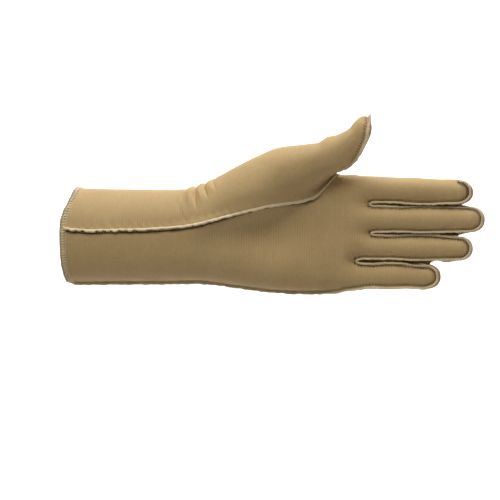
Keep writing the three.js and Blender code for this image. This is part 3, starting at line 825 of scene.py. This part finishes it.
def thread_material(name, light, dark):
    m, t, b = nodes_of(name)
    coord = add(t, "ShaderNodeTexCoord").outputs["Object"]
    n = add(t, "ShaderNodeTexNoise")
    n.inputs["Scale"].default_value = 900
    n.inputs["Detail"].default_value = 3
    t.links.new(coord, n.inputs["Vector"])
    mix = add(t, "ShaderNodeMix", data_type="RGBA")
    mix.inputs["A"].default_value = lin(dark)
    mix.inputs["B"].default_value = lin(light)
    t.links.new(n.outputs["Fac"], mix.inputs["Factor"])
    t.links.new(mix.outputs["Result"], b.inputs["Base Color"])
    bump = add(t, "ShaderNodeBump")
    bump.inputs["Strength"].default_value = 0.4
    bump.inputs["Distance"].default_value = 0.00012
    t.links.new(n.outputs["Fac"], bump.inputs["Height"])
    t.links.new(bump.outputs["Normal"], b.inputs["Normal"])
    t.links.new(math_node(t, "ADD", math_node(t, "MULTIPLY", n.outputs["Fac"], 0.2), 0.6), b.inputs["Roughness"])
    b.inputs["Specular IOR Level"].default_value = 0.3
    b.inputs["Sheen Weight"].default_value = 0.2
    b.inputs["Sheen Roughness"].default_value = 0.5
    return m


KNIT = knit_material("stretch_knit", (206, 179, 133), (182, 155, 109), (52, 38, 20))
# the seam plies are a lighter copy of the panels' knit: painted highlight on the seam flanges; their painted shade goes
# to a dark brown
PLY_PAINTED_HIGHLIGHT = knit_material("seam_ply_painted_highlight", (240, 222, 186), (222, 200, 160), (70, 53, 30), 0.6)
# pale overlock thread of its own colour, made lighter still as painted highlight on the seam crests
THREAD = thread_material("overlock_thread", (250, 238, 210), (232, 212, 176))
NEEDLE = thread_material("needle_thread", (218, 193, 147), (194, 168, 122))

# ------------------------------------------------------------------ panels

V, T = surface()
V, T = refine(V, T, lambda q: (near_seam(q)[0] < 2.5) | ((q[:, 0] > 70) & (q[:, 0] < 108) & (q[:, 2] > 8)))
V, T, _ = split(V, T, V[:, 0] - 1.4)
V, THUMB_T, REST = split(V, T, polygon_field(V[:, 0], V[:, 2], THUMB_SIDE))
STRIPS = []
for s in SLITS:
    V, strip, REST = split(V, REST, strip_field(V, s))
    STRIPS.append(strip)
V = project(V, 2)
NRM = unit(slope(V))
DIST, ALONG = near_seam(V)
LIFT = dents(V, DIST, ALONG)
OUT = V + LIFT[:, None] * NRM
IN = OUT - WALL * NRM


def course(v):
    """Distance along the hand, or along the thumb on the thumb."""
    s = np.empty(len(v))
    for i in range(0, len(v), 4000):
        q = v[i:i + 4000]
        k = np.argmin(((q[:, None] - _axis[None, ::4, :3]) ** 2).sum(2), 1) * 4
        s[i:i + 4000] = _axis_s[k] + ((q - _axis[k, :3]) * _axis_t[k]).sum(1)
    return lerp(v[:, 0], 88 + s, ss(v[:, 2] - curve(LINE[:, 0], LINE[:, 1], v[:, 0]), 2, 14) * ss(v[:, 0], 88, 130) * (polygon_field(v[:, 0], v[:, 2], THUMB_SIDE) > 0))


def parts_of(tri, n):
    """Label of each triangle's connected part."""
    label = np.arange(n)
    while True:
        low = label[tri].min(1)
        new = label.copy()
        for k in range(3):
            np.minimum.at(new, tri[:, k], low)
        new = new[new]
        if (new == label).all():
            return label[tri[:, 0]]
        label = new


def panel(name, tri):
    lab = parts_of(tri, len(V))
    names, sizes = np.unique(lab, return_counts=True)
    keep = np.isin(lab, names[sizes >= max(30, 0.02 * sizes.max())])
    if not keep.all():
        print("loose bits", name, sorted(sizes)[-4:], (~keep).sum(), V[tri[~keep, 0]].min(0).round(1), V[tri[~keep, 0]].max(0).round(1))
    v, t, used = compact(OUT, tri[keep])
    inner = IN[used]
    vv, ff = shell(v, t, inner)
    c = course(V[used])
    shade = np.where(ALONG[used] < 1900, 0.0, 1.0)   # no needle holes show along the wrist-to-thumb seams
    zero = np.zeros(len(v))
    area = float(np.linalg.norm(np.cross(v[t[:, 1]] - v[t[:, 0]], v[t[:, 2]] - v[t[:, 0]]), axis=1).sum() / 2) / 1e6
    # the cloth gets painted shade along the seams and painted shade in the needle holes beside them
    o = make(name + "_cloth", vv, ff, [KNIT], attrs={"course": np.tile(c, 2), "off": np.concatenate([DIST[used], zero + 20]), "along": np.tile(ALONG[used], 2), "shade": np.concatenate([shade, zero]),
                                                      "painted_shade": np.concatenate([painted_seam_shade(V[used], DIST[used], ALONG[used]), zero])})
    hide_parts(name)
    return o, area


for name, tri in [("hand_panel", REST), ("thumb_panel", THUMB_T)] + [("fourchette_" + s["name"], STRIPS[i]) for i, s in enumerate(SLITS)]:
    panel(name, tri)

# ------------------------------------------------------------------ raised seams


def arc(path):
    return np.concatenate([[0], np.cumsum(np.linalg.norm(np.diff(path, axis=0), axis=1))])


def frames(path, lean):
    """Direction along a seam, across it and out of the cloth, with lean added to the outward one."""
    t = unit(np.gradient(path, axis=0))
    n = unit(blur(unit(slope(path)), 6) + lean)
    n = unit(n - t * (n * t).sum(1, keepdims=True))
    n = unit(blur(n, 3))
    return t, np.cross(n, t), n


def at_length(s, x, *arrays):
    """Values of arrays given along s, at the lengths x."""
    out = []
    for a in arrays:
        out.append(np.interp(x, s, a) if a.ndim == 1 else np.stack([np.interp(x, s, a[:, k]) for k in range(a.shape[1])], -1))
    return out


def tube(path, radius, sides, ref):
    t = unit(np.gradient(path, axis=0))
    e1 = unit(ref - t * (ref * t).sum(1, keepdims=True))
    e2 = np.cross(t, e1)
    a = np.arange(sides) / sides * 2 * np.pi
    v = path[None] + radius * (np.cos(a)[:, None, None] * e1[None] + np.sin(a)[:, None, None] * e2[None])
    idx = np.arange(sides * len(path)).reshape(sides, -1)
    b = np.roll(idx, -1, axis=0)
    q = np.stack([idx[:, :-1], b[:, :-1], b[:, 1:], idx[:, 1:]], -1).reshape(-1, 4)
    return v.reshape(-1, 3), [q, idx[:, 0][None, ::-1], idx[:, -1][None]]


STITCH = dict(pitch=1.85, length=1.15, radius=0.3, aside=1.4, sunk=0.24)


def needle_row(path, side, seed, start=0.9, stop=0.9):
    """Short stitches in a row along one side of a seam, their ends going down into the cloth."""
    s = arc(path)
    t, across, n = frames(path, 0)
    r = np.random.default_rng(seed)
    first = np.arange(start, s[-1] - STITCH["length"] - stop, STITCH["pitch"])
    if not len(first):
        return np.zeros((0, 3)), []
    k = np.linspace(0, 1, 6)
    x = first[:, None] + STITCH["length"] * k[None] + r.uniform(-0.08, 0.08, (len(first), 1))
    c, tt, ac, nn = at_length(s, x.ravel(), path, t, across, n)
    tilt = r.uniform(-0.12, 0.12, (len(first), 1)) * (k[None] - 0.5) * 2
    dip = 0.55 * (np.abs(k - 0.5) * 2) ** 3
    c = c + (side * STITCH["aside"] + tilt.ravel())[:, None] * ac - (STITCH["sunk"] + np.tile(dip, len(first)))[:, None] * nn
    a = np.arange(4) / 4 * 2 * np.pi
    v = c[:, None] + STITCH["radius"] * (np.cos(a)[None, :, None] * nn[:, None] + np.sin(a)[None, :, None] * unit(ac)[:, None])
    idx = np.arange(len(first) * 24).reshape(-1, 6, 4)
    b = np.roll(idx, -1, axis=2)
    q = np.stack([idx[:, :-1], idx[:, 1:], b[:, 1:], b[:, :-1]], -1).reshape(-1, 4)
    return v.reshape(-1, 3), [q, idx[:, 0], idx[:, -1, ::-1]]


WELT = dict(height=2.2, half=0.5, pitch=1.4, thread=0.19)


def welt(name, path, lean, seed, tall=1.0, ruffle=0.2, sides=(-1, 1), start=0.4, stop=0.4, flange_shade=0.0):
    s = arc(path)
    t, across, up = frames(path, lean)
    base = path - 0.5 * up
    sway = ruffle * (wander(s, 8.0, seed) + 0.4 * np.sin(s * 2 * np.pi / 4.6 + seed))
    height = WELT["height"] * tall * (1 + (0.06 + 0.35 * ruffle) * wander(s, 9.0, seed + 1)) + 0.08 * np.sin(s * 2 * np.pi / WELT["pitch"])
    height = height * lerp(start, 1, ss(s, 0, 4)) * lerp(stop, 1, ss(s[-1] - s, 0, 4))
    h = WELT["half"]
    # two plies side by side with a shallow dent between their edges
    shape = [(-1.6, -0.25), (-1.05, 0.2), (-1.0, 0.62), (-0.98, 0.9), (-0.7, 0.99), (-0.3, 0.985), (0.0, 0.91), (0.3, 0.985), (0.7, 0.99), (0.98, 0.9), (1.0, 0.62), (1.05, 0.2), (1.6, -0.25)]
    prof = np.stack([np.stack([a * h + sway * max(0, u) ** 1.4, u * height], 1) for a, u in shape])
    k, m = prof.shape[:2]
    v = (base[None] + prof[:, :, :1] * across[None] + prof[:, :, 1:] * up[None]).reshape(-1, 3)
    idx = np.arange(k * m).reshape(k, m)
    a, b = idx, np.roll(idx, -1, axis=0)
    q = np.stack([a[:, :-1], a[:, 1:], b[:, 1:], b[:, :-1]], -1).reshape(-1, 4)
    faces, mats = [q, idx[:, 0][None], idx[:, -1][None, ::-1]], [0, 0, 0]
    verts = [v]
    course_at = [np.tile(s, k)]
    # painted shade: the foot of the flange darker where it meets the cloth, and a painted shade added over the whole
    # flange
    painted_shade = [np.repeat(np.array([0.3 * max(0.0, 1 - u / 0.5) for _, u in shape]), m) + np.tile(np.zeros(m) + flange_shade, k)]

    def put(v2, f2, mat=1):
        n = sum(len(x) for x in verts)
        verts.append(v2)
        for f in f2:
            faces.append(f + n)
            mats.append(mat)
        for x in (course_at, painted_shade):
            x.append(np.zeros(len(v2)))

    # overlock thread wound round the two plies
    turns = s[-1] / WELT["pitch"]
    w = np.linspace(0, 1, int(turns * 12))
    x = w * s[-1] + 0.10 * wander(w * s[-1], 2.3, seed + 2)
    c, ac, u, hh, sw = at_length(s, x, base, across, up, height, sway)
    ang = w * turns * 2 * np.pi
    ca, sa = np.cos(ang), np.sin(ang)
    ex = np.sign(ca) * np.abs(ca) ** 0.5 * (h + 0.12)
    ey = 0.56 + 0.47 * np.sign(sa) * np.abs(sa) ** 0.7
    line = c + (ex + sw * np.maximum(ey, 0) ** 1.4)[:, None] * ac + (ey * hh + 0.08)[:, None] * u
    put(*tube(line, WELT["thread"], 5, ca[:, None] * ac + sa[:, None] * u))
    # chain along the flange's edge where the overlock loops lock
    x = np.linspace(0, s[-1], int(s[-1] / 0.35))
    c, ac, u, hh, sw = at_length(s, x, base, across, up, height, sway)
    ph = x * 2 * np.pi / WELT["pitch"]
    line = c + (0.24 * np.sin(ph) + sw)[:, None] * ac + (hh + 0.07 + 0.07 * np.cos(2 * ph))[:, None] * u
    put(*tube(line, 0.16, 5, u))
    for side in sides:
        put(*needle_row(path, side, seed + 3 + side), 2)
    o = make(name + "_welt", np.concatenate(verts), faces, [PLY_PAINTED_HIGHLIGHT, THREAD, NEEDLE], np.concatenate([np.full(len(f), i) for f, i in zip(faces, mats)]),
             {"course": np.concatenate(course_at), "painted_shade": np.concatenate(painted_shade)})
    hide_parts(name)
    return o


def lean_of(name, p):
    x, y, z = p.T
    zero = np.zeros(len(p))
    if name == "seam_thumb_palm":   # lies over towards the palm, most of all below the ball of the thumb
        return np.stack([zero, zero, -lerp(0.55, 1.35, ss(x, 60, 125)) * (1 - ss(x, 158, 168))], 1)
    if name == "seam_thumb_back":
        return np.stack([zero, zero, zero - 0.5], 1)
    if name == "seam_thumb_side":
        return np.zeros((len(p), 3))
    if name == "seam_fingers_palm":   # between the fingers the flanges turn to the palm, elsewhere they stand straight out
        f = ss(x, 180, 190) * ss(z, -33.5, -30)
        out = lerp(lerp(1.25, 0.55, tipness(p)), -0.7, low_side(p)) * f
        return np.stack([zero, -blur(out[:, None], 12)[:, 0] - 0.25 * ss(-z, 27, 31) * (1 - ss(x, 222, 232)), zero], 1)
    return np.stack([zero, zero + 1.7, zero], 1)


welts = {}
for i, (name, path) in enumerate(PATHS.items()):
    more = {}
    if name == "seam_thumb_palm":
        # painted shade on this flange, strongest near the cuff
        more = dict(tall=lerp(0.9, 1.12, ss(path[:, 0], 60, 125)), ruffle=lerp(0.5, 0.15, ss(path[:, 0], 70, 120)), flange_shade=0.16 * (1 - ss(path[:, 0], 85, 130)))
    elif name == "seam_thumb_back":
        more = dict(ruffle=lerp(0.4, 0.2, ss(path[:, 0], 70, 120)))
    elif name == "seam_thumb_side":
        u = np.linspace(0, 1, len(path))
        more = dict(tall=lerp(0.9, 1.2, ss(u, 0.3, 0.8)) + 0.3 * ss(u, 0.94, 1.0), start=0.1, stop=1.0)
    elif name == "seam_fingers_palm":
        low = low_side(path)
        # the flange lying back into a slit is shortened and painted in shade
        more = dict(ruffle=0.2, tall=blur(lerp(lerp(1.0, 0.85, tipness(path)), 0.5, low)[:, None], 8)[:, 0], flange_shade=0.55 * low)
    else:
        away = np.minimum(arc(path), arc(path)[-1] - arc(path))
        more = dict(tall=lerp(0.4, 1.0, ss(away, 3, 16)), start=0.1, stop=0.1)
    welts[name] = welt(name, path, lean_of(name, path), 20 + 7 * i, **more)

# ------------------------------------------------------------------ cuff edge


def ring_tube(line, ref, radius, sides=5):
    closed = np.concatenate([line[-1:], line, line[:1]])
    t = unit(closed[2:] - closed[:-2])
    e1 = unit(ref - t * (ref * t).sum(1, keepdims=True))
    e2 = np.cross(t, e1)
    ph = np.arange(sides) / sides * 2 * np.pi
    v = line[None] + radius * (np.cos(ph)[:, None, None] * e1[None] + np.sin(ph)[:, None, None] * e2[None])
    i = np.arange(sides * len(line)).reshape(sides, -1)
    b = np.roll(i, -1, axis=0)
    return v.reshape(-1, 3), np.stack([i, b, np.roll(b, -1, axis=1), np.roll(i, -1, axis=1)], -1).reshape(-1, 4)


def cuff_edge():
    a = np.linspace(0, 2 * np.pi, 721)[:-1]
    o = np.stack([np.full(720, 1.6), np.zeros(720), np.zeros(720)], 1)
    ring = cast(o, np.stack([0 * a, np.cos(a), np.sin(a)], 1), reach=40)
    ring = resample(np.concatenate([ring, ring[:1]]), 0.5)[:-1]
    n = unit(slope(ring))
    m = len(ring)
    s = np.arange(m) * 0.5
    length = m * 0.5
    whole = lambda wave: length / max(1, round(length / wave))
    # the edge stands off in shallow waves, most on the thumb side
    flare = 0.22 * np.sin(s * 2 * np.pi / whole(7.3)) + 0.2 * np.sin(s * 2 * np.pi / whole(17.0) + 1) + 0.9 * ss(ring[:, 2], 18, 29)
    x = np.array([1.0, 0, 0])
    mid = ring - 0.5 * WALL * n

    def spot(c, nn, fl, dx, dn):
        return c + np.multiply.outer(dx, x) + (dn + fl * (1 - (dx + 1.5) / 4.2))[:, None] * nn

    shape = [(2.3, 0.45), (1.6, 0.62), (0.4, 0.62), (-0.7, 0.58), (-1.3, 0.42), (-1.55, 0.0), (-1.3, -0.42), (-0.7, -0.58), (0.4, -0.62), (1.6, -0.62), (2.3, -0.45)]
    v = np.stack([spot(mid, n, flare, np.full(m, dx), np.full(m, dn)) for dx, dn in shape])
    k = len(shape)
    idx = np.arange(k * m).reshape(k, m)
    b, c = np.roll(idx, -1, axis=0), np.roll(idx, -1, axis=1)
    q = np.stack([idx, b, np.roll(b, -1, axis=1), c], -1).reshape(-1, 4)
    verts, faces, mats = [v.reshape(-1, 3)], [q], [0]

    def put(line, ref, radius):
        v2, q2 = ring_tube(line, ref, radius)
        faces.append(q2 + sum(len(z) for z in verts))
        verts.append(v2)
        mats.append(1)

    def round_ring(count):
        pos = np.arange(count) / count * m
        wrap = lambda arr: np.stack([np.interp(pos, np.arange(m + 1), np.append(arr[:, j], arr[0, j])) for j in range(3)], 1)
        return np.arange(count) / count, wrap(mid), unit(wrap(n)), np.interp(pos, np.arange(m + 1), np.append(flare, flare[0]))

    # thread wrapped over the raw edge
    turns = round(length / 1.75)
    w, cm, cn, fl = round_ring(turns * 14)
    ang = w * turns * 2 * np.pi
    ca, sa = np.cos(ang), np.sin(ang)
    ex, en = np.sign(ca) * np.abs(ca) ** 0.8 * 1.85 + 0.2, np.sign(sa) * np.abs(sa) ** 0.6 * 0.8
    put(spot(cm, cn, fl, ex, en), ca[:, None] * x + sa[:, None] * cn, 0.22)
    # zigzag lying on the band, outside and inside
    for face, shift in ((1, 0.0), (-1, 0.5)):
        w, cm, cn, fl = round_ring(turns * 8)
        ph = (w * turns + shift) * 2 * np.pi
        tri = 2 / np.pi * np.arcsin(0.985 * np.sin(ph))
        put(spot(cm, cn, fl, 0.75 + 1.35 * tri, face * (0.66 + 0.10 * np.cos(2 * ph))), cn, 0.2)
    # row of stitches where the band ends
    for face in (1, -1):
        w, cm, cn, fl = round_ring(turns * 8)
        ph = w * turns * 2 * np.pi
        put(spot(cm, cn, fl, 2.45 + 0.1 * np.sin(ph), face * (0.48 + 0.22 * np.cos(ph))), cn, 0.2)
    total = sum(len(z) for z in verts)
    zero = np.zeros(total - k * m)
    # painted shade darkens the whole band of the edge under the thread
    attrs = {"course": np.concatenate([np.tile(s, k), zero]), "painted_shade": np.concatenate([np.full(k * m, 0.6), zero])}
    o = make("cuff_edge_overlock", np.concatenate(verts), faces, [PLY_PAINTED_HIGHLIGHT, THREAD], np.concatenate([np.full(len(f), i) for f, i in zip(faces, mats)]), attrs)
    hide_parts("cuff_edge")
    return o


cuff_edge()

# ------------------------------------------------------------------ stage, light, camera


def stage_sweep():
    """Pale floor that curves up behind."""
    xs = np.linspace(-3, 3, 9)
    floor, near, bend = -1.3, 0.9, 1.2
    prof = [(-3.0, floor), (near, floor)]
    for k in range(1, 17):
        a = k / 16 * math.pi / 2
        prof.append((near + bend * math.sin(a), floor + bend * (1 - math.cos(a))))
    prof.append((near + bend, 2.4))
    v = [(x, y, z) for y, z in prof for x in xs]
    f = []
    for j in range(len(prof) - 1):
        for i in range(len(xs) - 1):
            a = j * len(xs) + i
            f.append((a, a + 1, a + len(xs) + 1, a + len(xs)))
    m = bpy.data.meshes.new("floor")
    m.from_pydata(v, [], f)
    m.polygons.foreach_set("use_smooth", np.ones(len(f), bool))
    o = bpy.data.objects.new("floor", m)
    ROOT.objects.link(o)
    mat, t, b = nodes_of("pale_floor")
    b.inputs["Base Color"].default_value = (0.86, 0.86, 0.86, 1)
    b.inputs["Roughness"].default_value = 0.9
    m.materials.append(mat)


stage_sweep()


def area_light(name, at, to, size, power, colour=(1, 1, 1)):
    d = bpy.data.lights.new(name, "AREA")
    d.shape, d.size, d.size_y, d.energy, d.color = "RECTANGLE", size[0], size[1], power, colour
    o = bpy.data.objects.new(name, d)
    o.location = at
    o.rotation_euler = (Vector(to) - Vector(at)).to_track_quat("-Z", "Y").to_euler()
    ROOT.objects.link(o)


C = (0.13, 0.0, 0.0)
area_light("key", (0.12, -0.07, 1.24), C, (1.2, 0.3), 11.5, (0.985, 0.99, 1.0))
area_light("fill", (0.05, -0.86, 1.12), C, (1.3, 0.7), 10.5, (1.0, 0.96, 0.87))
area_light("backdrop", (0.12, 0.6, 1.3), (0.12, 2.6, 1.3), (2.2, 0.6), 130)
world = bpy.data.worlds.new("studio")
bpy.context.scene.world = world
world.use_nodes = True
world.node_tree.nodes["Background"].inputs["Color"].default_value = (1.0, 0.93, 0.81, 1)
_t = world.node_tree
_up = add(_t, "ShaderNodeSeparateXYZ")
_t.links.new(add(_t, "ShaderNodeTexCoord").outputs["Generated"], _up.inputs[0])
_t.links.new(math_node(_t, "ADD", math_node(_t, "MULTIPLY", _up.outputs["Z"], 0.11), 0.14), _t.nodes["Background"].inputs["Strength"])

AZ, EL, AWAY, ACROSS = math.radians(11.0), math.radians(0.0), 1.2, 0.317
aim = Vector((0.119, 0.0, -0.0095))
back = Vector((math.sin(AZ) * math.cos(EL), -math.cos(AZ) * math.cos(EL), math.sin(EL)))
cam = bpy.data.cameras.new("camera")
cam.sensor_width = 36.0
cam.lens = 36.0 * AWAY / ACROSS
cam.clip_end = 50
eye = bpy.data.objects.new("camera", cam)
eye.location = aim + AWAY * back
eye.rotation_euler = (aim - eye.location).to_track_quat("-Z", "Y").to_euler()
ROOT.objects.link(eye)
bpy.context.scene.camera = eye
bpy.context.scene.view_settings.view_transform = "Standard"
